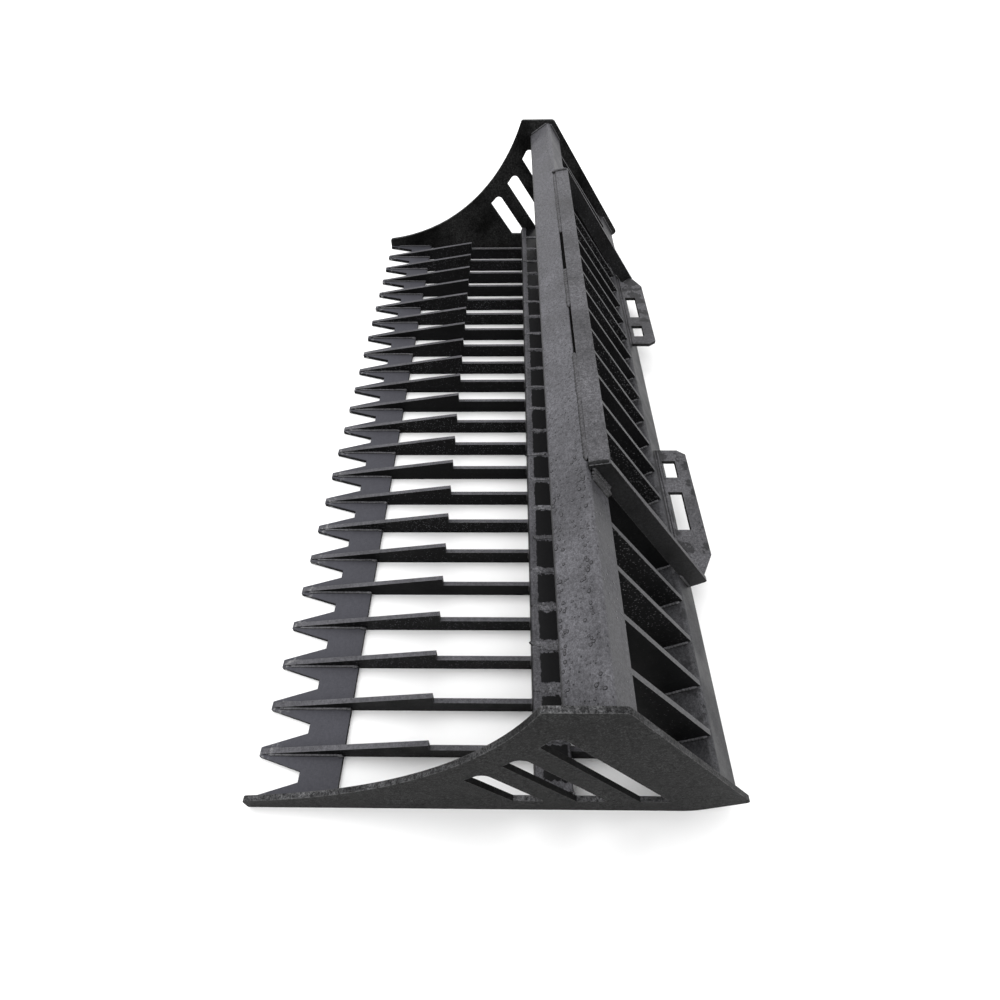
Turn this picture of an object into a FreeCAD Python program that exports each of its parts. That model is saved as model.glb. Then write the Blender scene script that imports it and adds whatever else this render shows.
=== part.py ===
import FreeCAD, Part
import math
import os

# Skeleton (rock) bucket for a skid steer loader: a welded assembly with no moving parts.
# Millimetres. X runs across the width, -Y is the digging edge, +Y the loader side, +Z up.
# The origin is on the ground, under the middle of the bounding box.
# "Reach" is the distance back from the tooth tips; it becomes Y after FRAME_SHIFT is taken off.

Vector = FreeCAD.Vector
INCH = 25.4

# Plate stock, tine spacing and overall width
PLATE = 0.375 * INCH
TINE_GAP = 3.0 * INCH
TINE_COUNT = 22
TINE_PITCH = PLATE + TINE_GAP
BUCKET_WIDTH = (TINE_COUNT + 1) * TINE_PITCH + PLATE
INNER_HALF_WIDTH = BUCKET_WIDTH / 2 - PLATE

# The back plane: the top tube and the lower beam are flush with it, and so are the tines at the beam
BACK_ANGLE = math.radians(56.0)
APEX_REACH = 580.5
APEX_HEIGHT = 427.0

# Structural tubes
TOP_TUBE_SIZE = 3.0 * INCH
TUBE_WALL = 0.25 * INCH
TUBE_CORNER = 9.5
BEAM_DOWN = 370.0
BEAM_DEPTH = 3.5 * INCH
CROSS_TUBE_SIZE = 2.5 * INCH
CROSS_TUBE_REACH = 496.0
CROSS_TUBE_WALL = 0.1875 * INCH
CROSS_TUBE_CORNER = 7.0
BACK_TINE_RECESS = 7.0

# Side plates
SIDE_HEIGHT = 433.0
SIDE_MARGIN = 17.5
FRONT_ARC_RADIUS = 23.0 * INCH
FRONT_ARC_REACH = -63.0
FRONT_ARC_HEIGHT = 617.0
WINDOW_STARTS = (460.0, 565.0, 670.0)
WINDOW_WIDTH = 52.0
WINDOW_SILL = 53.0
WINDOW_RIM = 51.0
WINDOW_SILL_RADIUS = 4.0
WINDOW_TOP_RADIUS = 14.0
TOE_RADIUS = 4.0
NOSE_RADIUS = 8.0
TOP_REAR_RADIUS = 14.0
FOOT_RADIUS = 10.0
HEEL_RADIUS = 60.0

# Cutting edge
EDGE_DEPTH = 6.0 * INCH
NOTCH_DEPTH = 80.0
NOTCH_FLAT = 19.0
TOOTH_TIP = 16.0

# Floor tines
TINE_SETBACK = 4.0
TINE_NOSE = 2.5
WEDGE_LENGTH = 312.0
WEDGE_HEIGHT = 61.0
BAR_HEIGHT = 1.5 * INCH
SADDLE_HEIGHT = 0.5 * INCH

# Quick attach
EAR_SPREAD = 46.0 * INCH
EAR_TOP_WIDTH = 36.0
EAR_FOOT_WIDTH = 40.0
EAR_DOWN = 433.0
EAR_FOOT_RADIUS = 6.0
EAR_TOP_RADIUS = 3.0
LIP_REACH = 582.8
LIP_HEIGHT = 430.5
LIP_TILT = math.radians(10.0)
LATCH_HEIGHT = 100.0
LATCH_REACH = 874.0
LATCH_INNER_X = 217.0
LATCH_WINDOW_REACH = 813.0
LATCH_WINDOW_DEPTH = 32.0
LATCH_WINDOWS = ((253.0, 53.0), (351.0, 108.0))
LATCH_INNER_CHAMFER = (14.0, 19.0)
LATCH_OUTER_CHAMFER = (50.0, 25.0)
LATCH_COPE_WIDTH = 37.0
LATCH_COPE_DEPTH = 26.0
LATCH_COPE_APEX = 14.0

# How far a cutting solid runs past the face that it opens, and past the tooth tips
CUT_MARGIN = 1.0
NOTCH_OVERRUN = 10.0

OVERALL_REACH = LATCH_REACH
FRAME_SHIFT = OVERALL_REACH / 2
EAR_INNER_X = EAR_SPREAD / 2 - PLATE


def slope_point(out, down):
    """Reach and height of a point measured from the top tube's sharp rear ridge."""
    reach = APEX_REACH + out * math.sin(BACK_ANGLE) + down * math.cos(BACK_ANGLE)
    height = APEX_HEIGHT + out * math.cos(BACK_ANGLE) - down * math.sin(BACK_ANGLE)
    return reach, height


def back_plane_reach(height, out=0.0):
    """Reach of the back plane, moved out by a distance, at a height."""
    foot = APEX_REACH * math.sin(BACK_ANGLE) + APEX_HEIGHT * math.cos(BACK_ANGLE) + out
    return (foot - height * math.cos(BACK_ANGLE)) / math.sin(BACK_ANGLE)


def plate(profile, x_from, thickness):
    """A flat piece: a closed side profile of (reach, height) points given a thickness along X."""
    points = [Vector(x_from, reach - FRAME_SHIFT, height) for reach, height in profile]
    wire = Part.makePolygon(points + [points[0]])
    return Part.Face(wire).extrude(Vector(thickness, 0, 0))


def round_edges(shape, corners):
    """Round the edges along X that pass through each (reach, height, radius)."""
    for reach, height, radius in corners:
        target = Vector(0, reach - FRAME_SHIFT, height)
        picked = []
        for edge in shape.Edges:
            start = edge.Vertexes[0].Point
            end = edge.Vertexes[-1].Point
            along_x = abs(start.x - end.x) > PLATE / 2
            near = Vector(0, start.y, start.z).distanceToPoint(target) < 0.5
            if along_x and near:
                picked.append(edge)
        shape = shape.makeFillet(radius, picked)
    return shape


def cutter(outline, underside):
    """A solid to cut away: an (x, y) outline run through a level plate, from its underside up."""
    points = [Vector(x, y, underside - CUT_MARGIN) for x, y in outline]
    wire = Part.makePolygon(points + [points[0]])
    return Part.Face(wire).extrude(Vector(0, 0, PLATE + 2 * CUT_MARGIN))


def mirrored(shape):
    """The same piece on the other side of the middle of the width."""
    return shape.mirror(Vector(0, 0, 0), Vector(1, 0, 0))


def save(shape, node):
    """Write one sub-part as its own STEP file."""
    shape.exportStep("parts/" + node + ".step")


def tube(corners, wall, corner_radius):
    """A hollow tube across the inner width, from the four (reach, height) corners of its section."""
    length = 2 * INNER_HALF_WIDTH
    outer = plate(corners, -INNER_HALF_WIDTH, length)
    outer = round_edges(outer, [(reach, height, corner_radius) for reach, height in corners])
    centre_reach = sum(reach for reach, height in corners) / 4
    centre_height = sum(height for reach, height in corners) / 4
    side_a = math.dist(corners[0], corners[1])
    side_b = math.dist(corners[1], corners[2])
    unit_a = [(corners[1][i] - corners[0][i]) / side_a for i in (0, 1)]
    unit_b = [(corners[2][i] - corners[1][i]) / side_b for i in (0, 1)]
    half_a = side_a / 2 - wall
    half_b = side_b / 2 - wall
    inside = []
    for sign_a, sign_b in ((-1, -1), (1, -1), (1, 1), (-1, 1)):
        reach = centre_reach + sign_a * half_a * unit_a[0] + sign_b * half_b * unit_b[0]
        height = centre_height + sign_a * half_a * unit_a[1] + sign_b * half_b * unit_b[1]
        inside.append((reach, height))
    inner_radius = corner_radius - wall
    inner = plate(inside, -INNER_HALF_WIDTH, length)
    inner = round_edges(inner, [(reach, height, inner_radius) for reach, height in inside])
    return outer.cut(inner)


def window(start):
    """One slanted window of a side plate, as a solid to cut away."""
    rise = FRONT_ARC_HEIGHT - WINDOW_SILL
    lean = rise / math.tan(BACK_ANGLE)
    profile = [
        (start, WINDOW_SILL),
        (start + WINDOW_WIDTH, WINDOW_SILL),
        (start + WINDOW_WIDTH - lean, WINDOW_SILL + rise),
        (start - lean, WINDOW_SILL + rise),
    ]
    slot = plate(profile, -PLATE, 3 * PLATE).cut(front_cylinder(FRONT_ARC_RADIUS + WINDOW_RIM))
    sill_corners = [
        (start, WINDOW_SILL, WINDOW_SILL_RADIUS),
        (start + WINDOW_WIDTH, WINDOW_SILL, WINDOW_SILL_RADIUS),
    ]
    slot = round_edges(slot, sill_corners)
    top = max(slot.Vertexes, key=lambda vertex: vertex.Point.z).Point
    return round_edges(slot, [(top.y + FRAME_SHIFT, top.z, WINDOW_TOP_RADIUS)])


def front_cylinder(radius):
    """A cylinder across the side plate, about the centre of its concave front edge."""
    centre = Vector(-2 * PLATE, FRONT_ARC_REACH - FRAME_SHIFT, FRONT_ARC_HEIGHT)
    return Part.makeCylinder(radius, 5 * PLATE, centre, Vector(1, 0, 0))


def side_plate():
    """A side plate, its inner face at X = 0 and its outer face at X = PLATE."""
    beam_bottom = BEAM_DOWN + BEAM_DEPTH
    rear_corner = slope_point(SIDE_MARGIN, beam_bottom)
    heel_reach = rear_corner[0] - rear_corner[1] * math.tan(BACK_ANGLE)
    top_rear = (back_plane_reach(SIDE_HEIGHT, SIDE_MARGIN), SIDE_HEIGHT)
    profile = [(0, 0), (heel_reach, 0), rear_corner, top_rear, (0, SIDE_HEIGHT)]
    shape = plate(profile, 0, PLATE).cut(front_cylinder(FRONT_ARC_RADIUS))
    arc_drop = FRONT_ARC_HEIGHT - SIDE_HEIGHT
    top_front = FRONT_ARC_REACH + math.sqrt(FRONT_ARC_RADIUS ** 2 - arc_drop ** 2)
    tip_height = FRONT_ARC_HEIGHT - math.sqrt(FRONT_ARC_RADIUS ** 2 - FRONT_ARC_REACH ** 2)
    corners = [
        (0, 0, TOE_RADIUS),
        (0, tip_height, NOSE_RADIUS),
        (top_front, SIDE_HEIGHT, NOSE_RADIUS),
        (*top_rear, TOP_REAR_RADIUS),
        (*rear_corner, FOOT_RADIUS),
        (heel_reach, 0, HEEL_RADIUS),
    ]
    shape = round_edges(shape, corners)
    for start in WINDOW_STARTS:
        shape = shape.cut(window(start))
    return shape


def cutting_edge():
    """The flat front bar, notched between the tines so that each tine ends in a tooth."""
    bar = Part.makeBox(
        2 * INNER_HALF_WIDTH, EDGE_DEPTH, PLATE, Vector(-INNER_HALF_WIDTH, -FRAME_SHIFT, 0)
    )
    notches = []
    half_mouth = (TINE_PITCH - TOOTH_TIP) / 2
    half_flat = NOTCH_FLAT / 2
    flare = NOTCH_OVERRUN * (half_mouth - half_flat) / NOTCH_DEPTH
    front_y = -FRAME_SHIFT - NOTCH_OVERRUN
    back_y = NOTCH_DEPTH - FRAME_SHIFT
    for gap in range(TINE_COUNT + 1):
        middle = (gap - TINE_COUNT / 2) * TINE_PITCH
        outline = [
            (middle - half_mouth - flare, front_y),
            (middle + half_mouth + flare, front_y),
            (middle + half_flat, back_y),
            (middle - half_flat, back_y),
        ]
        notches.append(cutter(outline, 0))
    return bar.cut(notches)


def tine_x(number):
    """X of the near side of a tine's plate; tines are numbered from the left side plate."""
    return (number - (TINE_COUNT + 1) / 2) * TINE_PITCH - PLATE / 2


def floor_tine(number):
    """A floor tine: a wedge on the cutting edge, then a low bar saddled under the cross tube."""
    tube_rear = CROSS_TUBE_REACH + CROSS_TUBE_SIZE
    profile = [
        (TINE_SETBACK, PLATE),
        (TINE_SETBACK, PLATE + TINE_NOSE),
        (WEDGE_LENGTH, WEDGE_HEIGHT),
        (WEDGE_LENGTH, BAR_HEIGHT),
        (CROSS_TUBE_REACH, BAR_HEIGHT),
        (CROSS_TUBE_REACH, SADDLE_HEIGHT),
        (tube_rear, SADDLE_HEIGHT),
        (tube_rear, BAR_HEIGHT),
        (back_plane_reach(BAR_HEIGHT, -TOP_TUBE_SIZE), BAR_HEIGHT),
        (back_plane_reach(0, -TOP_TUBE_SIZE), 0),
        (EDGE_DEPTH, 0),
        (EDGE_DEPTH, PLATE),
    ]
    return plate(profile, tine_x(number), PLATE)


def back_tine(number):
    """A back tine: a flat bar from under the top tube, set in a little, down to the lower beam."""
    profile = [
        slope_point(-BACK_TINE_RECESS, TOP_TUBE_SIZE),
        slope_point(0, BEAM_DOWN),
        slope_point(-TOP_TUBE_SIZE, BEAM_DOWN),
        slope_point(-TOP_TUBE_SIZE, TOP_TUBE_SIZE),
    ]
    return plate(profile, tine_x(number), PLATE)


def top_tube():
    """The square tube along the top, turned so that its rear face lies in the back plane."""
    corners = [
        slope_point(0, 0),
        slope_point(0, TOP_TUBE_SIZE),
        slope_point(-TOP_TUBE_SIZE, TOP_TUBE_SIZE),
        slope_point(-TOP_TUBE_SIZE, 0),
    ]
    return tube(corners, TUBE_WALL, TUBE_CORNER)


def lower_beam():
    """The rectangular tube at the foot of the back, its bottom face in line with the heel."""
    beam_bottom = BEAM_DOWN + BEAM_DEPTH
    corners = [
        slope_point(0, BEAM_DOWN),
        slope_point(0, beam_bottom),
        slope_point(-TOP_TUBE_SIZE, beam_bottom),
        slope_point(-TOP_TUBE_SIZE, BEAM_DOWN),
    ]
    return tube(corners, TUBE_WALL, TUBE_CORNER)


def cross_tube():
    """The square tube across the floor, let into the saddles of the floor tines."""
    top = SADDLE_HEIGHT + CROSS_TUBE_SIZE
    rear = CROSS_TUBE_REACH + CROSS_TUBE_SIZE
    corners = [
        (CROSS_TUBE_REACH, SADDLE_HEIGHT),
        (rear, SADDLE_HEIGHT),
        (rear, top),
        (CROSS_TUBE_REACH, top),
    ]
    return tube(corners, CROSS_TUBE_WALL, CROSS_TUBE_CORNER)


def lip_end():
    """Reach and height of the outer top corner of the lip, which meets the ears' outer faces."""
    start_out = (LIP_REACH - APEX_REACH) * math.sin(BACK_ANGLE)
    start_out += (LIP_HEIGHT - APEX_HEIGHT) * math.cos(BACK_ANGLE)
    length = (EAR_TOP_WIDTH - start_out) / math.sin(BACK_ANGLE + LIP_TILT)
    reach = LIP_REACH + length * math.cos(LIP_TILT)
    height = LIP_HEIGHT + length * math.sin(LIP_TILT)
    return reach, height


def quick_attach_ear():
    """The upright bar at the right-hand end of the quick attach."""
    outer_foot = slope_point(EAR_FOOT_WIDTH, EAR_DOWN)
    profile = [
        slope_point(0, TUBE_CORNER),
        (LIP_REACH, LIP_HEIGHT),
        lip_end(),
        outer_foot,
        slope_point(0, EAR_DOWN),
    ]
    ear = plate(profile, EAR_INNER_X, PLATE)
    return round_edges(ear, [(*outer_foot, EAR_FOOT_RADIUS), (*lip_end(), EAR_TOP_RADIUS)])


def quick_attach_lip():
    """The lip that the loader's attach plate hooks under, between the two ears."""
    end_reach, end_height = lip_end()
    drop_reach = PLATE * math.sin(LIP_TILT)
    drop_height = PLATE * math.cos(LIP_TILT)
    under_height = LIP_HEIGHT - drop_height
    profile = [
        (back_plane_reach(under_height), under_height),
        (LIP_REACH, LIP_HEIGHT),
        (end_reach, end_height),
        (end_reach + drop_reach, end_height - drop_height),
    ]
    return plate(profile, -EAR_INNER_X, 2 * EAR_INNER_X)


def latch_plate():
    """The right-hand foot plate: coped at the ear, with a small and a large window for the latch pins."""
    low = LATCH_HEIGHT - PLATE
    profile = [
        (back_plane_reach(low), low),
        (LATCH_REACH, low),
        (LATCH_REACH, LATCH_HEIGHT),
        (back_plane_reach(LATCH_HEIGHT), LATCH_HEIGHT),
    ]
    shape = plate(profile, LATCH_INNER_X, EAR_INNER_X - LATCH_INNER_X)
    outer_y = LATCH_REACH - FRAME_SHIFT
    for x_corner, inward, (along, back) in (
        (LATCH_INNER_X, 1, LATCH_INNER_CHAMFER),
        (EAR_INNER_X, -1, LATCH_OUTER_CHAMFER),
    ):
        chamfer = [(x_corner, outer_y), (x_corner + inward * along, outer_y), (x_corner, outer_y - back)]
        shape = shape.cut(cutter(chamfer, low))
    beam_y = back_plane_reach(LATCH_HEIGHT) - FRAME_SHIFT
    cope = [
        (EAR_INNER_X, beam_y),
        (EAR_INNER_X, beam_y + LATCH_COPE_WIDTH),
        (EAR_INNER_X - LATCH_COPE_DEPTH, beam_y + LATCH_COPE_APEX),
    ]
    shape = shape.cut(cutter(cope, low))
    window_y = LATCH_WINDOW_REACH - FRAME_SHIFT
    for x_start, length in LATCH_WINDOWS:
        corner = Vector(x_start, window_y, low - CUT_MARGIN)
        shape = shape.cut(
            Part.makeBox(length, LATCH_WINDOW_DEPTH, PLATE + 2 * CUT_MARGIN, corner)
        )
    return shape


os.makedirs("parts", exist_ok=True)

right_side = side_plate()
right_side.translate(Vector(INNER_HALF_WIDTH, 0, 0))
save(right_side, "side_plate_right")
save(mirrored(right_side), "side_plate_left")

save(cutting_edge(), "cutting_edge")
for tine_number in range(1, TINE_COUNT + 1):
    save(floor_tine(tine_number), f"floor_tine_{tine_number:02d}")
    save(back_tine(tine_number), f"back_tine_{tine_number:02d}")

save(top_tube(), "top_tube")
save(cross_tube(), "cross_tube")
save(lower_beam(), "lower_beam")

right_ear = quick_attach_ear()
save(right_ear, "quick_attach_ear_right")
save(mirrored(right_ear), "quick_attach_ear_left")
save(quick_attach_lip(), "quick_attach_lip")

right_latch = latch_plate()
save(right_latch, "latch_plate_right")
save(mirrored(right_latch), "latch_plate_left")
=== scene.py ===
import math
import random

import bpy
from mathutils import Euler, Matrix, Vector, noise


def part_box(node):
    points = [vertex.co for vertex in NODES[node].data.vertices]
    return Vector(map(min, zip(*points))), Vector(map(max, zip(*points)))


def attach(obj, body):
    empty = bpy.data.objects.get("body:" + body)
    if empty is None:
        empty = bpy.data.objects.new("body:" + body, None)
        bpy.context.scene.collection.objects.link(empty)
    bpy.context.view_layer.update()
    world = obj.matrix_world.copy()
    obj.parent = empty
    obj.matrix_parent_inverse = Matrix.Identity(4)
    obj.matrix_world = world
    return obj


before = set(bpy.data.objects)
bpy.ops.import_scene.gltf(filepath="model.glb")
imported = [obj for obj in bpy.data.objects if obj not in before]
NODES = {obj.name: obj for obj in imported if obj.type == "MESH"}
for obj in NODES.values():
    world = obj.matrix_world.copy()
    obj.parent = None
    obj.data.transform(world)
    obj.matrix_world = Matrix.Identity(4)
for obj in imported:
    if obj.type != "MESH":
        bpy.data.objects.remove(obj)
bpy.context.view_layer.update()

# Looks of a skeleton (rock) bucket: satin black paint with wet dust on the faces that look up, lighter there
# also as a painted sheen, weld beads along the joints, rain drops, and worn teeth. Metres, in the frame of
# the CAD model.
# X is the width, -Y the digging edge, +Y the loader side, +Z up.

BODY = "root"
TINE_NUMBERS = range(1, 23)
BACK_ANGLE = math.radians(56.0)
LIP_SLOPE = math.radians(10.0)
SEED = 78

# Where the lip is welded to the top tube: from, to, and how much the bead wanders
SEAM_RUNS = ((-0.566, -0.217, 0.0006), (-0.043, 0.114, 0.0006), (0.276, 0.566, 0.0020))
# Where that seam is left open, with a dark strip of painted shade in the gap: from, to, and its half width
OPEN_SEAMS = ((-0.217, -0.043, 0.0042), (0.114, 0.276, 0.0022))
# A bead that wanders more than this carries a second, smaller bead
SEAM_WAVY = 0.001

# Half the width of the welds over the cross tube, and the X where they start and end growing
NARROW_WELD = 0.0055
WIDE_WELD = 0.0120
WELDS_GROW_FROM = 0.45
WELDS_GROW_TO = 0.75
# How far these welds lie to the left of the middle of their tine
LEAST_WELD_SHIFT = 0.002
MOST_WELD_SHIFT = 0.012

# Rain drops lie between -X and +X of this, and are smaller below the second X
DROPS_REACH = 0.97
DRIER_BELOW_X = 0.55
DRIER_SIZE = 0.6

# Places that are read off the CAD pieces
EDGE_LOW, EDGE_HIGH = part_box("cutting_edge")
CROSS_LOW, CROSS_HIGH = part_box("cross_tube")
EAR_LOW, EAR_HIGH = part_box("quick_attach_ear_right")
LIP_LOW, LIP_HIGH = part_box("quick_attach_lip")
LATCH_LOW, LATCH_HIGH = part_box("latch_plate_right")
BACK_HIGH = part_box("back_tine_01")[1]
FLOOR_LOW, FLOOR_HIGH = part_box("floor_tine_01")
PLATE = EDGE_HIGH.z - EDGE_LOW.z
INNER_HALF = EDGE_HIGH.x
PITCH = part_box("floor_tine_02")[0].x - FLOOR_LOW.x

# As in the CAD model: the side of the top tube, where the lower beam starts and ends down the slope,
# how far the back tines stand in from the back plane, and the sharp rear ridge of the top tube
TUBE = 0.0762
BEAM_DOWN = 0.370
BEAM_END = BEAM_DOWN + 0.0889
BACK_TINE_RECESS = 0.007
RIDGE_Y = BACK_HIGH.y - BEAM_DOWN * math.cos(BACK_ANGLE)
RIDGE_Z = BACK_HIGH.z + TUBE * math.sin(BACK_ANGLE) + BACK_TINE_RECESS * math.cos(BACK_ANGLE)


def slope_point(x, out, down):
    """A point measured from the top tube's sharp rear ridge: out of the back plane, and down it."""
    y = RIDGE_Y + out * math.sin(BACK_ANGLE) + down * math.cos(BACK_ANGLE)
    z = RIDGE_Z + out * math.cos(BACK_ANGLE) - down * math.sin(BACK_ANGLE)
    return Vector((x, y, z))


OUT = slope_point(0, 1, 0) - slope_point(0, 0, 0)
DOWN = slope_point(0, 0, 1) - slope_point(0, 0, 0)
ALONG = Vector((1, 0, 0))
UP = Vector((0, 0, 1))
BACK = Vector((0, 1, 0))


def tine_sides(number, family="floor_tine"):
    """X of the left and right faces of a tine."""
    low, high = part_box(f"{family}_{number:02d}")
    return low.x, high.x


# ---------------------------------------------------------------- materials

# Upper faces: dust, and lighter still as a painted sheen of the sky on the black paint
DUST_AND_SHEEN = (0.093, 0.092, 0.101)
DARK = (0.0070, 0.0070, 0.0074)
BARE_STEEL = (0.30, 0.30, 0.30)
# Near black of the painted shade on the sheltered walls of the side plates' windows
PAINTED_SHADE_BLACK = (0.005, 0.005, 0.005)
# Near black of the painted reflection of the top tube's dark underside in the water on the cross tube
WATER_FILM_PAINTED_REFLECTION = (0.0075, 0.0075, 0.008)
SMOOTHEST = 0.42
ROUGHEST = 0.62


class Paint:
    """A procedural painted-steel material, written node by node."""

    def __init__(self, name, specular, roughness_even=None):
        self.material = bpy.data.materials.new(name)
        self.material.use_nodes = True
        self.nodes = self.material.node_tree.nodes
        self.links = self.material.node_tree.links
        self.nodes.clear()
        output = self.nodes.new("ShaderNodeOutputMaterial")
        self.shader = self.nodes.new("ShaderNodeBsdfPrincipled")
        self.links.new(self.shader.outputs[0], output.inputs[0])
        self.shader.inputs["Specular IOR Level"].default_value = specular
        if roughness_even is not None:
            self.shader.inputs["Roughness"].default_value = roughness_even
        self.place = self.nodes.new("ShaderNodeTexCoord").outputs["Object"]
        self.geometry = self.nodes.new("ShaderNodeNewGeometry")

    def feed(self, socket, value):
        """Link a value to a socket, or set it there if it is a plain number or colour."""
        if isinstance(value, bpy.types.NodeSocket):
            self.links.new(value, socket)
        else:
            socket.default_value = value

    def math(self, operation, first, second=0.0):
        """One arithmetic step on two values."""
        step = self.nodes.new("ShaderNodeMath")
        step.operation = operation
        self.feed(step.inputs[0], first)
        self.feed(step.inputs[1], second)
        return step.outputs[0]

    def times(self, *values):
        """The product of several values."""
        result = values[0]
        for value in values[1:]:
            result = self.math("MULTIPLY", result, value)
        return result

    def ramp(self, value, low, high, bottom=0.0, top=1.0):
        """A smooth change from bottom to top as value goes from low to high."""
        step = self.nodes.new("ShaderNodeMapRange")
        step.interpolation_type = "SMOOTHSTEP"
        for socket, number in zip(step.inputs[:5], (value, low, high, bottom, top)):
            self.feed(socket, number)
        return step.outputs[0]

    def mix(self, amount, first, second):
        """Blend two colours."""
        step = self.nodes.new("ShaderNodeMix")
        step.data_type = "RGBA"
        self.feed(step.inputs[0], amount)
        for socket, colour in ((step.inputs[6], first), (step.inputs[7], second)):
            self.feed(socket, (*colour, 1.0) if isinstance(colour, tuple) else colour)
        return step.outputs[2]

    def noise(self, scale, detail=3.0, roughness=0.55):
        """Cloudy noise from 0 to 1; scale is in waves per metre."""
        step = self.nodes.new("ShaderNodeTexNoise")
        step.inputs["Scale"].default_value = scale
        step.inputs["Detail"].default_value = detail
        step.inputs["Roughness"].default_value = roughness
        self.links.new(self.place, step.inputs["Vector"])
        return step.outputs[0]

    def cells(self, scale):
        """Distance to the nearest of many scattered points, and a random number for each point."""
        step = self.nodes.new("ShaderNodeTexVoronoi")
        step.inputs["Scale"].default_value = scale
        self.links.new(self.place, step.inputs["Vector"])
        split = self.nodes.new("ShaderNodeSeparateColor")
        self.links.new(step.outputs["Color"], split.inputs[0])
        return step.outputs["Distance"], split.outputs[0]

    def scaled(self, colour, amount):
        """A colour made lighter or darker by a factor."""
        step = self.nodes.new("ShaderNodeVectorMath")
        step.operation = "SCALE"
        self.links.new(colour, step.inputs[0])
        self.links.new(amount, step.inputs["Scale"])
        return step.outputs[0]

    def split(self, vector):
        """X, Y and Z of a vector."""
        step = self.nodes.new("ShaderNodeSeparateXYZ")
        self.links.new(vector, step.inputs[0])
        return step.outputs[0], step.outputs[1], step.outputs[2]

    def axes(self):
        """X, Y and Z of the point."""
        return self.split(self.place)

    def normal(self):
        """X, Y and Z of the direction the face looks in."""
        return self.split(self.geometry.outputs["Normal"])

    def facing_up(self, low=0.12, high=0.96):
        """1 on faces that look up, 0 on upright faces and those that look down."""
        _, _, up = self.normal()
        return self.ramp(up, low, high)

    def edges(self, radius=0.0022):
        """1 along the sharp edges of a piece."""
        bevel = self.nodes.new("ShaderNodeBevel")
        bevel.samples = 4
        bevel.inputs["Radius"].default_value = radius
        dot = self.nodes.new("ShaderNodeVectorMath")
        dot.operation = "DOT_PRODUCT"
        self.links.new(bevel.outputs[0], dot.inputs[0])
        self.links.new(self.geometry.outputs["Normal"], dot.inputs[1])
        return self.ramp(dot.outputs["Value"], 0.98, 0.86)

    def finish(self, colour, roughness=None, height=None, depth=0.0006, strength=1.0):
        """Connect colour, roughness and bump to the shader."""
        self.links.new(colour, self.shader.inputs["Base Color"])
        if roughness is not None:
            self.links.new(roughness, self.shader.inputs["Roughness"])
        if height is not None:
            bump = self.nodes.new("ShaderNodeBump")
            bump.inputs["Strength"].default_value = strength
            bump.inputs["Distance"].default_value = depth
            self.links.new(height, bump.inputs["Height"])
            self.links.new(bump.outputs[0], self.shader.inputs["Normal"])
        return self.material


def dust_and_sheen_paint(name, dark, dust_and_sheen, edge, specular=0.12, speckle=0.5, pits=0.6, mottle=0.35,
                stains=0.0, relief=0.0004, wet_film_with_painted_reflection=None, wear_and_shade=None):
    """Black paint with a film of dust on its upper faces, speckled by rain; the upper faces are lighter also
    as a painted sheen.

    dark and dust_and_sheen are the colours of upright and upper faces, the latter dust and a painted sheen;
    edge is the colour of worn edges;
    speckle is how strong the light specks on dark faces are, pits the dark ones on dusty faces,
    and stains the wet blotches; mottle is how much the shade varies, and relief how deep the fine
    unevenness is. wear_and_shade changes the colour at the end, for worn steel and for painted shade, and
    wet_film_with_painted_reflection both the colour and the roughness.
    """
    paint = Paint(name, specular)
    up = paint.facing_up()
    clouds = paint.noise(9.0, detail=4.0, roughness=0.6)
    fine = paint.noise(170.0, detail=5.0, roughness=0.75)
    grit = paint.noise(700.0, detail=2.0, roughness=0.6)
    cloud_shade = paint.ramp(clouds, 0.3, 0.7, 1.0 - mottle, 1.0 + mottle * 0.4)
    fine_shade = paint.ramp(fine, 0.3, 0.72, 1.0 - mottle, 1.0 + mottle)
    grain = paint.ramp(paint.noise(430.0, roughness=0.8), 0.34, 0.66, 1.0 - 0.9 * mottle, 1.0 + 0.9 * mottle)
    shade = paint.times(cloud_shade, fine_shade, grain)
    # Upper faces take the dust colour, which is also a painted sheen: the top is lighter because of how the
    # light falls
    base = paint.mix(up, dark, dust_and_sheen)
    colour = paint.scaled(base, shade)
    # Dark pits on the dusty faces
    pit_distance, pit_number = paint.cells(150.0)
    pit_shape = paint.ramp(pit_distance, 0.32, 0.14)
    pit_chosen = paint.ramp(pit_number, 0.52, 0.56)
    pit_clusters = paint.ramp(paint.noise(14.0, roughness=0.6), 0.36, 0.60, 0.25, 1.0)
    pit = paint.times(pit_shape, pit_chosen, pit_clusters, up, pits)
    colour = paint.mix(pit, colour, dark)
    if stains:
        blotch = paint.ramp(paint.noise(26.0, detail=4.0), 0.55, 0.59)
        colour = paint.mix(paint.times(blotch, up, stains), colour, dark)
    # Light specks on the dark faces
    speck_distance, speck_number = paint.cells(230.0)
    speck_chosen = paint.ramp(speck_number, 0.60, 0.66)
    speck_shape = paint.ramp(speck_distance, 0.36, 0.14)
    speck_clusters = paint.ramp(paint.noise(18.0), 0.34, 0.56, 0.35, 1.0)
    upright = paint.math("SUBTRACT", 1.0, up)
    speck = paint.times(speck_shape, speck_chosen, speck_clusters, upright, speckle)
    colour = paint.mix(speck, colour, dust_and_sheen)
    # Worn edges
    worn = paint.times(paint.edges(), paint.ramp(fine, 0.35, 0.55), 0.85)
    colour = paint.mix(worn, colour, edge)
    gloss = paint.ramp(clouds, 0.35, 0.65, SMOOTHEST, ROUGHEST)
    if wear_and_shade:
        colour = wear_and_shade(paint, colour)
    if wet_film_with_painted_reflection:
        colour, gloss = wet_film_with_painted_reflection(paint, colour)
    height = paint.math("ADD", paint.times(fine, 0.6), paint.times(grit, 0.4))
    return paint.finish(colour, gloss, height, depth=relief, strength=0.5)


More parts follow.
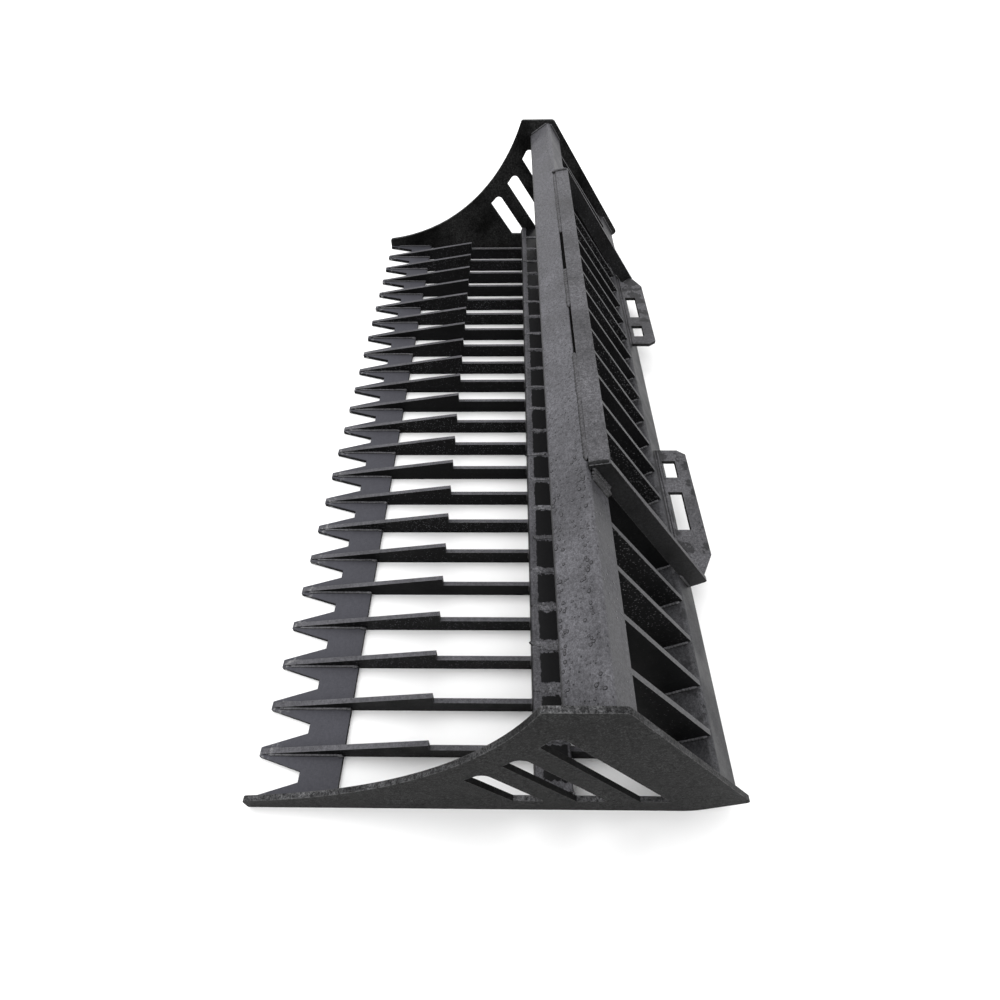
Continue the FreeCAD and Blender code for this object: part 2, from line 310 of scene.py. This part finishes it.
def tooth_wear(paint, colour):
    """Paint scraped off the tips of the teeth, down to bright steel."""
    _, y, _ = paint.axes()
    near_tip = paint.ramp(y, EDGE_LOW.y + 0.045, EDGE_LOW.y + 0.004)
    scraped = paint.ramp(paint.noise(90.0, detail=4.0, roughness=0.7), 0.52, 0.66)
    return paint.mix(paint.times(near_tip, scraped, 0.7), colour, BARE_STEEL)


def painted_window_shade(paint, colour):
    """Painted shade: the sheltered lower walls of the side plates' windows, where they face the loader side,
    are painted near black.
    """
    _, y, z = paint.axes()
    _, rearward, _ = paint.normal()
    faces_rear = paint.ramp(rearward, 0.3, 0.6)
    from_ridge_y = paint.times(paint.math("SUBTRACT", y, RIDGE_Y), math.sin(BACK_ANGLE))
    from_ridge_z = paint.times(paint.math("SUBTRACT", z, RIDGE_Z), math.cos(BACK_ANGLE))
    deep_in_shade = paint.ramp(paint.math("ADD", from_ridge_y, from_ridge_z), -0.010, -0.020)
    # Painted shade: near black where the window walls face the loader side and lie in from the back plane
    return paint.mix(paint.times(faces_rear, deep_in_shade, 0.85), colour, PAINTED_SHADE_BLACK)


def cross_tube_film_painted_reflection(paint, colour):
    """Water lying on the flat top of the cross tube between the tine welds: smooth, and painted dark as a
    painted reflection of the top tube's dark underside.
    """
    x, y, z = paint.axes()
    raggedness = 0.028
    ragged = paint.math("MULTIPLY_ADD", paint.noise(75.0, detail=5.0, roughness=0.7), raggedness)
    ragged.node.inputs[2].default_value = -raggedness / 2
    # A hundred whole pitches keep the phase above zero and change nothing else
    weld_shift = (LEAST_WELD_SHIFT + MOST_WELD_SHIFT) / 2
    phase = paint.math("ADD", paint.math("ADD", x, ragged), PITCH * 100 + weld_shift)
    cycle = paint.math("PINGPONG", phase, PITCH / 2)
    # A tine stands half a pitch from the middle, so the welds lie where the wave is highest
    weld_edge = paint.ramp(x, WELDS_GROW_FROM, WELDS_GROW_TO, PITCH / 2 - NARROW_WELD, PITCH / 2 - WIDE_WELD)
    clear_of_weld = paint.ramp(paint.math("SUBTRACT", cycle, weld_edge), 0.0, -0.0015)
    ragged_y = paint.math("ADD", y, paint.times(ragged, 0.35))
    behind_front = paint.ramp(ragged_y, CROSS_LOW.y + 0.0145, CROSS_LOW.y + 0.0165)
    before_rear = paint.ramp(y, CROSS_HIGH.y - 0.005, CROSS_HIGH.y - 0.007)
    on_top = paint.ramp(z, CROSS_HIGH.z - 0.0012, CROSS_HIGH.z - 0.0006)
    # The wet patches get a near-black colour, a painted reflection of the tube above, and the water's own
    # lower roughness
    wet_and_reflecting = paint.times(clear_of_weld, behind_front, before_rear, on_top)
    return paint.mix(wet_and_reflecting, colour, WATER_FILM_PAINTED_REFLECTION), paint.ramp(wet_and_reflecting, 0.0, 1.0, 0.5, 0.25)


def water_material(name, colour):
    """A rain drop's skin: smooth, with a sharper glint than the paint's."""
    paint = Paint(name, 0.20, 0.30)
    darker = tuple(0.7 * part for part in colour)
    return paint.finish(paint.mix(paint.ramp(paint.noise(300.0), 0.35, 0.65), darker, colour))


# Each finish: its colour on upright faces, on upper faces (dust and a painted sheen) and at worn edges, and
# how uneven it is
# The side plates' paint carries painted shade on the lower walls of its windows
side_paint = dust_and_sheen_paint("side_plate_paint", (0.0170, 0.0170, 0.0170), (0.058, 0.058, 0.060),
                         (0.085, 0.085, 0.085), specular=0.016, speckle=0.40, mottle=0.70,
                         relief=0.0010, wear_and_shade=painted_window_shade)
edge_paint = dust_and_sheen_paint("cutting_edge_paint", (0.003, 0.003, 0.0035), (0.061, 0.061, 0.071),
                         (0.050, 0.050, 0.058), specular=0.05, pits=0.10, mottle=0.08, wear_and_shade=tooth_wear)
tine_paint = dust_and_sheen_paint("tine_paint", DARK, (0.088, 0.087, 0.095), (0.10, 0.10, 0.103),
                         specular=0.03, speckle=0.9, pits=0.35, mottle=0.25, wear_and_shade=tooth_wear)
back_tine_paint = dust_and_sheen_paint("back_tine_paint", DARK, (0.125, 0.125, 0.13), (0.12, 0.12, 0.12),
                              specular=0.05, speckle=0.8, pits=0.2, mottle=0.2)
top_tube_paint = dust_and_sheen_paint("top_tube_paint", DARK, DUST_AND_SHEEN, (0.11, 0.11, 0.115), pits=0.9, mottle=0.32)
beam_paint = dust_and_sheen_paint("lower_beam_paint", DARK, (0.048, 0.048, 0.052), (0.08, 0.08, 0.08),
                         pits=0.7, stains=0.55)
# The cross tube's paint carries a painted reflection in the water on its top
cross_paint = dust_and_sheen_paint("cross_tube_paint", DARK, (0.078, 0.077, 0.084), (0.12, 0.12, 0.12),
                          specular=0.06, wet_film_with_painted_reflection=cross_tube_film_painted_reflection)
attach_paint = dust_and_sheen_paint("attach_paint", (0.0105, 0.0105, 0.011), (0.073, 0.072, 0.078),
                           (0.07, 0.07, 0.07), pits=0.6, mottle=0.42)
latch_paint = dust_and_sheen_paint("latch_plate_paint", (0.010, 0.010, 0.0105), (0.078, 0.077, 0.083),
                          (0.10, 0.10, 0.10), pits=0.5, mottle=0.45, stains=0.7)
weld_paint = dust_and_sheen_paint("weld_paint", (0.024, 0.024, 0.024), (0.125, 0.124, 0.132),
                         (0.14, 0.14, 0.14), specular=0.15, speckle=0.4, pits=0.5)
attach_weld_paint = dust_and_sheen_paint("attach_weld_paint", (0.016, 0.016, 0.016), (0.066, 0.065, 0.070),
                                (0.10, 0.10, 0.10), specular=0.15, speckle=0.3, pits=0.5, mottle=0.45)
bar_paint = dust_and_sheen_paint("cross_tube_weld_paint", (0.02, 0.02, 0.02), (0.098, 0.097, 0.105),
                        (0.11, 0.11, 0.11), specular=0.15, speckle=0.3, pits=0.9, mottle=0.55)
dark_weld_paint = dust_and_sheen_paint("dark_weld_paint", (0.009, 0.009, 0.009), (0.018, 0.018, 0.019),
                              (0.03, 0.03, 0.03), specular=0.05, speckle=0.5)
# Painted shade: a near-black strip laid in the open seam under the lip, where the gap is in shade
seam_shade_paint = dust_and_sheen_paint("open_seam", (0.003, 0.003, 0.003), (0.005, 0.005, 0.005),
                        (0.006, 0.006, 0.006), specular=0.0, speckle=0.0)
drop_paint = water_material("rain_drop", (0.066, 0.065, 0.072))
# Painted dark rims on the drops: this colour stands in for the light a clear drop bends away at its edge
drop_rim_shade_paint = water_material("rain_drop_painted_dark_rim", (0.008, 0.008, 0.009))

NODE_PAINTS = (
    ("side_plate", side_paint),
    ("cutting_edge", edge_paint),
    ("floor_tine", tine_paint),
    ("back_tine", back_tine_paint),
    ("top_tube", top_tube_paint),
    ("lower_beam", beam_paint),
    ("cross_tube", cross_paint),
    ("quick_attach", attach_paint),
    ("latch_plate", latch_paint),
)


def paint_cad_nodes():
    """Give every CAD piece its finish."""
    for name, piece in NODES.items():
        paint = next(paint for start, paint in NODE_PAINTS if name.startswith(start))
        piece.data.materials.clear()
        piece.data.materials.append(paint)


# ---------------------------------------------------------------- pieces

class Piece:
    """A mesh made of many closed lumps, which becomes one object."""

    def __init__(self, name, slot, *paints):
        self.name = name
        self.paints = paints
        self.slot = slot
        self.vertices = []
        self.faces = []
        self.rim_faces = []
        self.random = random.Random(SEED + sum(map(ord, name)))

    def bead(self, start, end, radius, out, pitch=0.0045, wander=0.0):
        """A rippled weld bead from start to end, standing proud towards out.

        pitch is the length of one ripple, and wander how far the bead sways from its line.
        """
        ring_size = 8
        steps_per_ripple = 3
        fewest_steps = 6
        ripple_depth = 0.13
        roughness = 0.22
        tangent = (end - start).normalized()
        out = (out - tangent * out.dot(tangent)).normalized()
        across = tangent.cross(out)
        length = (end - start).length
        steps = max(fewest_steps, int(length / (pitch / steps_per_ripple)))
        offset = self.random.uniform(0, 100)
        first = len(self.vertices)
        for step in range(steps + 1):
            s = length * step / steps
            rough = noise.noise(Vector((s * 60, offset, 0)))
            wave = math.sin(2 * math.pi * s / pitch + 2 * rough)
            ripple = 1 + ripple_depth * wave + roughness * rough
            from_end = min(s, length - s) / radius
            taper = math.sqrt(max(0.05, min(1.0, from_end)))
            size = radius * ripple * taper
            sway = wander * noise.noise(Vector((s * 25, offset, 7)))
            centre = start + tangent * s + across * sway
            for k in range(ring_size):
                turn = 2 * math.pi * k / ring_size
                self.vertices.append(centre + (out * math.cos(turn) + across * math.sin(turn)) * size)
        for step in range(steps):
            here = first + step * ring_size
            for k in range(ring_size):
                after = (k + 1) % ring_size
                self.faces.append((here + k, here + after, here + ring_size + after, here + ring_size + k))
        last = first + steps * ring_size
        self.faces.append(tuple(first + k for k in reversed(range(ring_size))))
        self.faces.append(tuple(last + k for k in range(ring_size)))

    def lump(self, centre, side, normal, half_side, half_front, height, segments=20, rings=4,
             uneven=0.0, squareness=2.0, sink=0.0015, dark_rim=False):
        """A low closed lump on a face: an oval or boxy outline with a domed top.

        squareness 2 gives an oval and more gives a box; sink is how deep its foot goes into the
        face; dark_rim gives its lower rings the piece's second paint.
        """
        outline_waves = 90
        dome_waves = 160
        front = normal.cross(side).normalized()
        offset = self.random.uniform(0, 100)
        first = len(self.vertices)
        self.vertices.append(centre + normal * height)
        for ring in range(1, rings + 1):
            reach = ring / rings
            for k in range(segments):
                turn = 2 * math.pi * k / segments
                cosine, sine = math.cos(turn), math.sin(turn)
                power = 2 / squareness
                u = math.copysign(abs(cosine) ** power, cosine) * half_side * reach
                v = math.copysign(abs(sine) ** power, sine) * half_front * reach
                outline_place = Vector((u * outline_waves, v * outline_waves, offset))
                swell = 1 + uneven * noise.noise(outline_place) * 2
                lift = height * math.sqrt(max(0.0, 1 - reach ** 2.6))
                dome_place = Vector((u * dome_waves, v * dome_waves, offset + 9))
                lift *= 1 + uneven * noise.noise(dome_place) * 1.6
                if ring == rings:
                    lift = -sink
                self.vertices.append(centre + (side * u + front * v) * swell + normal * lift)
        for k in range(segments):
            self.faces.append((first, first + 1 + k, first + 1 + (k + 1) % segments))
        for ring in range(rings - 1):
            inner = first + 1 + ring * segments
            outer = inner + segments
            for k in range(segments):
                after = (k + 1) % segments
                self.faces.append((inner + k, outer + k, outer + after, inner + after))
        if dark_rim:
            self.rim_faces.extend(range(len(self.faces) - 2 * segments, len(self.faces)))
        rim = first + 1 + (rings - 1) * segments
        self.faces.append(tuple(rim + k for k in reversed(range(segments))))

    def build(self):
        """Make the object, and let it ride on the bucket."""
        mesh = bpy.data.meshes.new(self.name)
        mesh.from_pydata(self.vertices, [], self.faces)
        for paint in self.paints:
            mesh.materials.append(paint)
        for face in self.rim_faces:
            mesh.polygons[face].material_index = 1
        mesh.shade_smooth()
        piece = bpy.data.objects.new(self.name, mesh)
        bpy.context.scene.collection.objects.link(piece)
        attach(piece, BODY)
        return piece


def weld(name, slot="tube_paint"):
    """A piece in the common weld paint."""
    return Piece(name, slot, weld_paint)


def edge_welds():
    """Beads along both sides of every tine on the cutting edge, with a blob at the plate's rear."""
    piece = weld("weld_tines_to_cutting_edge", "edge_paint")
    start_y = EDGE_LOW.y + 0.016
    end_y = EDGE_HIGH.y - 0.004
    for number in TINE_NUMBERS:
        left, right = tine_sides(number)
        for x, side in ((left, -1), (right, 1)):
            out = UP + ALONG * side
            start = Vector((x, start_y, PLATE))
            end = Vector((x, end_y, PLATE))
            piece.bead(start, end, radius=0.0034, out=out, wander=0.0010)
            blob = Vector((x + side * 0.002, end_y, PLATE))
            piece.lump(blob, ALONG, UP, half_side=0.004, half_front=0.006, height=0.0035, uneven=0.3)
    piece.build()


def weld_half_width(x):
    """Half the width of a weld over the cross tube: narrow in the middle, wide near the right end."""
    grown = (x - WELDS_GROW_FROM) / (WELDS_GROW_TO - WELDS_GROW_FROM)
    return NARROW_WELD + (WIDE_WELD - NARROW_WELD) * min(1.0, max(0.0, grown))


def cross_tube_welds():
    """Lumpy weld run over the cross tube at every tine, and beads down its front and rear."""
    piece = weld("weld_tines_to_cross_tube")
    bars = Piece("weld_bars_on_cross_tube", "tube_paint", bar_paint)
    bead_foot = CROSS_LOW.z + 0.004
    bead_head = FLOOR_HIGH.z * 0.62
    for number in TINE_NUMBERS:
        left, right = tine_sides(number)
        middle = (left + right) / 2 - bars.random.uniform(LEAST_WELD_SHIFT, MOST_WELD_SHIFT)
        half_width = bars.random.uniform(0.8, 1.2) * weld_half_width(middle)
        centre = Vector((middle, (CROSS_LOW.y + CROSS_HIGH.y) / 2, CROSS_HIGH.z))
        half_length = (CROSS_HIGH.y - CROSS_LOW.y) / 2 - 0.006
        bars.lump(centre, ALONG, UP, half_width, half_length, height=0.0022, segments=48, rings=6,
                  uneven=0.40, squareness=3.5)
        for x, side in ((left, -1), (right, 1)):
            low = Vector((x, CROSS_LOW.y, bead_foot))
            high = Vector((x, CROSS_LOW.y, bead_head))
            piece.bead(low, high, radius=0.0024, out=-BACK + ALONG * side)
            low = Vector((x, CROSS_HIGH.y, bead_foot))
            high = Vector((x, CROSS_HIGH.y, bead_head))
            piece.bead(low, high, radius=0.0026, out=BACK + ALONG * side)
    piece.build()
    bars.build()


def back_welds():
    """Beads at the head and foot of every back tine."""
    foot = weld("weld_back_tines_to_beam")
    head = weld("weld_back_tines_to_top_tube")
    front = -0.070
    for number in TINE_NUMBERS:
        left, right = tine_sides(number, "back_tine")
        for x, side in ((left, -1), (right, 1)):
            start = slope_point(x, -0.006, BEAM_DOWN)
            end = slope_point(x, front, BEAM_DOWN)
            foot.bead(start, end, radius=0.0042, out=ALONG * side - DOWN, pitch=0.006, wander=0.002)
            start = slope_point(x, -BACK_TINE_RECESS - 0.006, TUBE)
            end = slope_point(x, front, TUBE)
            head.bead(start, end, radius=0.003, out=ALONG * side + DOWN)
    foot.build()
    head.build()


def tube_end_welds():
    """Beads on the side plates, at the ends of the tubes, the lower beam and the cutting edge."""
    piece = weld("weld_tubes_to_side_plates")
    inset = 0.008
    for side in (-1, 1):
        x = side * (INNER_HALF - 0.001)
        for down_from, down_to in ((0.0, TUBE), (BEAM_DOWN, BEAM_END)):
            rear = slope_point(x, 0.001, down_from + inset)
            rear_end = slope_point(x, 0.001, down_to - inset)
            piece.bead(rear, rear_end, radius=0.0035, out=OUT - ALONG * side)
            upper = slope_point(x, -inset, down_from - 0.001)
            upper_end = slope_point(x, inset - TUBE, down_from - 0.001)
            piece.bead(upper, upper_end, radius=0.0035, out=-DOWN - ALONG * side)
        for y, out in ((CROSS_LOW.y, -BACK), (CROSS_HIGH.y, BACK)):
            low = Vector((x, y, CROSS_LOW.z + inset))
            high = Vector((x, y, CROSS_HIGH.z - inset))
            piece.bead(low, high, radius=0.003, out=out - ALONG * side)
        start = Vector((x, EDGE_LOW.y + 0.03, PLATE))
        end = Vector((x, EDGE_HIGH.y - 0.004, PLATE))
        piece.bead(start, end, radius=0.0028, out=UP - ALONG * side)
    piece.build()


def attach_welds():
    """Beads of the quick attach: its ears on tube and beam, and its latch plates on the beam."""
    piece = Piece("weld_quick_attach", "attach_paint", attach_weld_paint)
    for side in (-1, 1):
        faces = (side * EAR_HIGH.x, side * EAR_LOW.x)
        for x, away in zip(faces, (side, -side)):
            # Four runs side by side, each lower and shorter than the last
            for run in range(4):
                run_x = x + away * 0.0045 * run
                run_out = 0.0055 - 0.0018 * run
                head = slope_point(run_x, run_out, 0.006 + 0.003 * run)
                head_end = slope_point(run_x, run_out, TUBE - 0.008)
                piece.bead(head, head_end, radius=0.0046, out=OUT + ALONG * away, pitch=0.007, wander=0.003)
            blob = slope_point(x + away * 0.006, 0, TUBE - 0.010)
            piece.lump(blob, ALONG, OUT, half_side=0.010, half_front=0.008, height=0.007, uneven=0.3)
            foot = slope_point(x, 0.001, BEAM_DOWN + 0.010)
            foot_end = slope_point(x, 0.001, BEAM_DOWN + 0.060)
            piece.bead(foot, foot_end, radius=0.0038, out=OUT + ALONG * away)
        inner = side * LATCH_LOW.x
        outer = side * LATCH_HIGH.x
        seam_y = LATCH_LOW.y + 0.006
        start = Vector((inner, seam_y, LATCH_HIGH.z))
        end = Vector((outer, seam_y, LATCH_HIGH.z))
        piece.bead(start, end, radius=0.0024, out=OUT + UP, wander=0.001)
    piece.build()


def lip_seam():
    """The weld between the lip and the top tube's ridge, a dark strip of painted shade in its two open
    stretches, and its end welds.
    """
    piece = Piece("weld_lip_to_top_tube", "attach_paint", attach_weld_paint)
    y = LIP_LOW.y - 0.0022
    z = RIDGE_Z - 0.0025
    for x_from, x_to, wander in SEAM_RUNS:
        start = Vector((x_from, y, z))
        end = Vector((x_to, y, z))
        piece.bead(start, end, radius=0.0052, out=UP - BACK * 0.3, pitch=0.009, wander=wander)
        if wander > SEAM_WAVY:
            lift = UP * 0.0022
            piece.bead(start + lift, end + lift, radius=0.0034, out=UP, pitch=0.013, wander=2.2 * wander)
    # A near-black strip of painted shade fills each open stretch of the seam
    seam_shade = Piece("open_seam_under_lip", "attach_paint", seam_shade_paint)
    for x_from, x_to, radius in OPEN_SEAMS:
        start = Vector((x_from, y, z + 0.0012))
        end = Vector((x_to, y, z + 0.0012))
        seam_shade.bead(start, end, radius, out=UP)
    seam_shade.build()
    end_weld = Piece("weld_lip_to_right_ear", "attach_paint", dark_weld_paint)
    ear_middle = (EAR_LOW.x + EAR_HIGH.x) / 2
    rise = (LIP_HIGH.y - LIP_LOW.y) * math.tan(LIP_SLOPE)
    near_end = Vector((ear_middle, LIP_LOW.y - 0.002, LIP_HIGH.z - rise - 0.003))
    near_end_rear = Vector((ear_middle, LIP_HIGH.y - 0.002, LIP_HIGH.z - 0.003))
    end_weld.bead(near_end, near_end_rear, radius=0.0054, out=UP, pitch=0.008, wander=0.002)
    end_weld.build()
    far_end = Vector((LIP_LOW.x - 0.002, y - 0.008, z + 0.003))
    far_end_rear = Vector((LIP_LOW.x - 0.002, LIP_HIGH.y - 0.004, LIP_HIGH.z + 0.0005))
    piece.bead(far_end, far_end_rear, radius=0.0048, out=UP, pitch=0.008, wander=0.004)
    piece.build()


def rain_drops():
    """Drops of water standing on the top and rear faces of the top tube, each with a painted dark rim."""
    piece = Piece("rain_drops", "tube_paint", drop_paint, drop_rim_shade_paint)
    rng = piece.random

    def scatter(count, place, side, normal, smallest, largest):
        for _ in range(count):
            size = smallest + (largest - smallest) * rng.random() ** 2
            point = place(rng)
            if point.x < DRIER_BELOW_X:
                size *= DRIER_SIZE
            # The outer rings of each drop get the rim paint, a painted dark edge for the light the drop
            # bends
            piece.lump(point, side, normal, size * rng.uniform(0.8, 1.3), size, size * 0.13,
                       segments=12, rings=5, sink=0.0002, dark_rim=True)

    def top_face(rng):
        x = rng.uniform(-DROPS_REACH, DROPS_REACH)
        near_edge = rng.choice((0.20, 0.86, rng.uniform(0.14, 0.88)))
        across = min(0.88, max(0.13, rng.gauss(near_edge, 0.07)))
        return slope_point(x, -TUBE * across, 0)

    def rear_face(rng):
        x = rng.uniform(-DROPS_REACH, DROPS_REACH)
        return slope_point(x, 0, TUBE * rng.uniform(0.14, 0.9))

    scatter(1150, top_face, ALONG, -DOWN, smallest=0.0011, largest=0.0038)
    scatter(260, rear_face, ALONG, OUT, smallest=0.0010, largest=0.0028)
    piece.build()


# ---------------------------------------------------------------- stage

def floor():
    """A plain pale floor."""
    paint = Paint("pale_floor", 0.0, 0.9)
    soft = paint.ramp(paint.noise(0.6, 2.0), 0.2, 0.8)
    material = paint.finish(paint.mix(soft, (0.95, 0.95, 0.95), (0.97, 0.97, 0.97)))
    half = 40.0
    drop = -0.0004
    corners = [(-half, -half, drop), (half, -half, drop), (half, half, drop), (-half, half, drop)]
    mesh = bpy.data.meshes.new("floor")
    mesh.from_pydata(corners, [], [(0, 1, 2, 3)])
    mesh.materials.append(material)
    stage = bpy.data.objects.new("floor", mesh)
    bpy.context.scene.collection.objects.link(stage)


def lights():
    """Soft light: an even white room, and a broad key light from high above.

    The key light leans a little to the left-hand side plate and to the digging edge.
    """
    key_from = Vector((-0.30, -0.20, 0.93))
    world = bpy.data.worlds.new("studio")
    world.use_nodes = True
    world.node_tree.nodes["Background"].inputs[0].default_value = (1.0, 1.0, 1.0, 1.0)
    world.node_tree.nodes["Background"].inputs[1].default_value = 1.38
    bpy.context.scene.world = world
    key = bpy.data.lights.new("key", "SUN")
    key.energy = 1.1
    key.angle = math.radians(40.0)
    lamp = bpy.data.objects.new("key", key)
    lamp.rotation_euler = key_from.to_track_quat("Z", "Y").to_euler()
    bpy.context.scene.collection.objects.link(lamp)


def camera():
    """The eye stands high beyond the right-hand side plate and looks along the width."""
    lens = bpy.data.cameras.new("camera")
    lens.sensor_width = 36.0
    lens.lens = 21.913
    lens.clip_end = 200.0
    eye = bpy.data.objects.new("camera", lens)
    place = Vector((1.2665, 0.0194, 1.1442))
    up_from_straight_down = math.radians(40.5)
    towards_left = math.radians(90.0)
    pan = math.radians(1.035)
    aim = Euler((up_from_straight_down, 0.0, towards_left)).to_matrix() @ Matrix.Rotation(pan, 3, "Y")
    eye.matrix_world = Matrix.Translation(place) @ aim.to_4x4()
    bpy.context.scene.collection.objects.link(eye)
    bpy.context.scene.camera = eye


paint_cad_nodes()
edge_welds()
cross_tube_welds()
back_welds()
tube_end_welds()
attach_welds()
lip_seam()
rain_drops()
floor()
lights()
camera()
bpy.context.scene.view_settings.view_transform = "Standard"
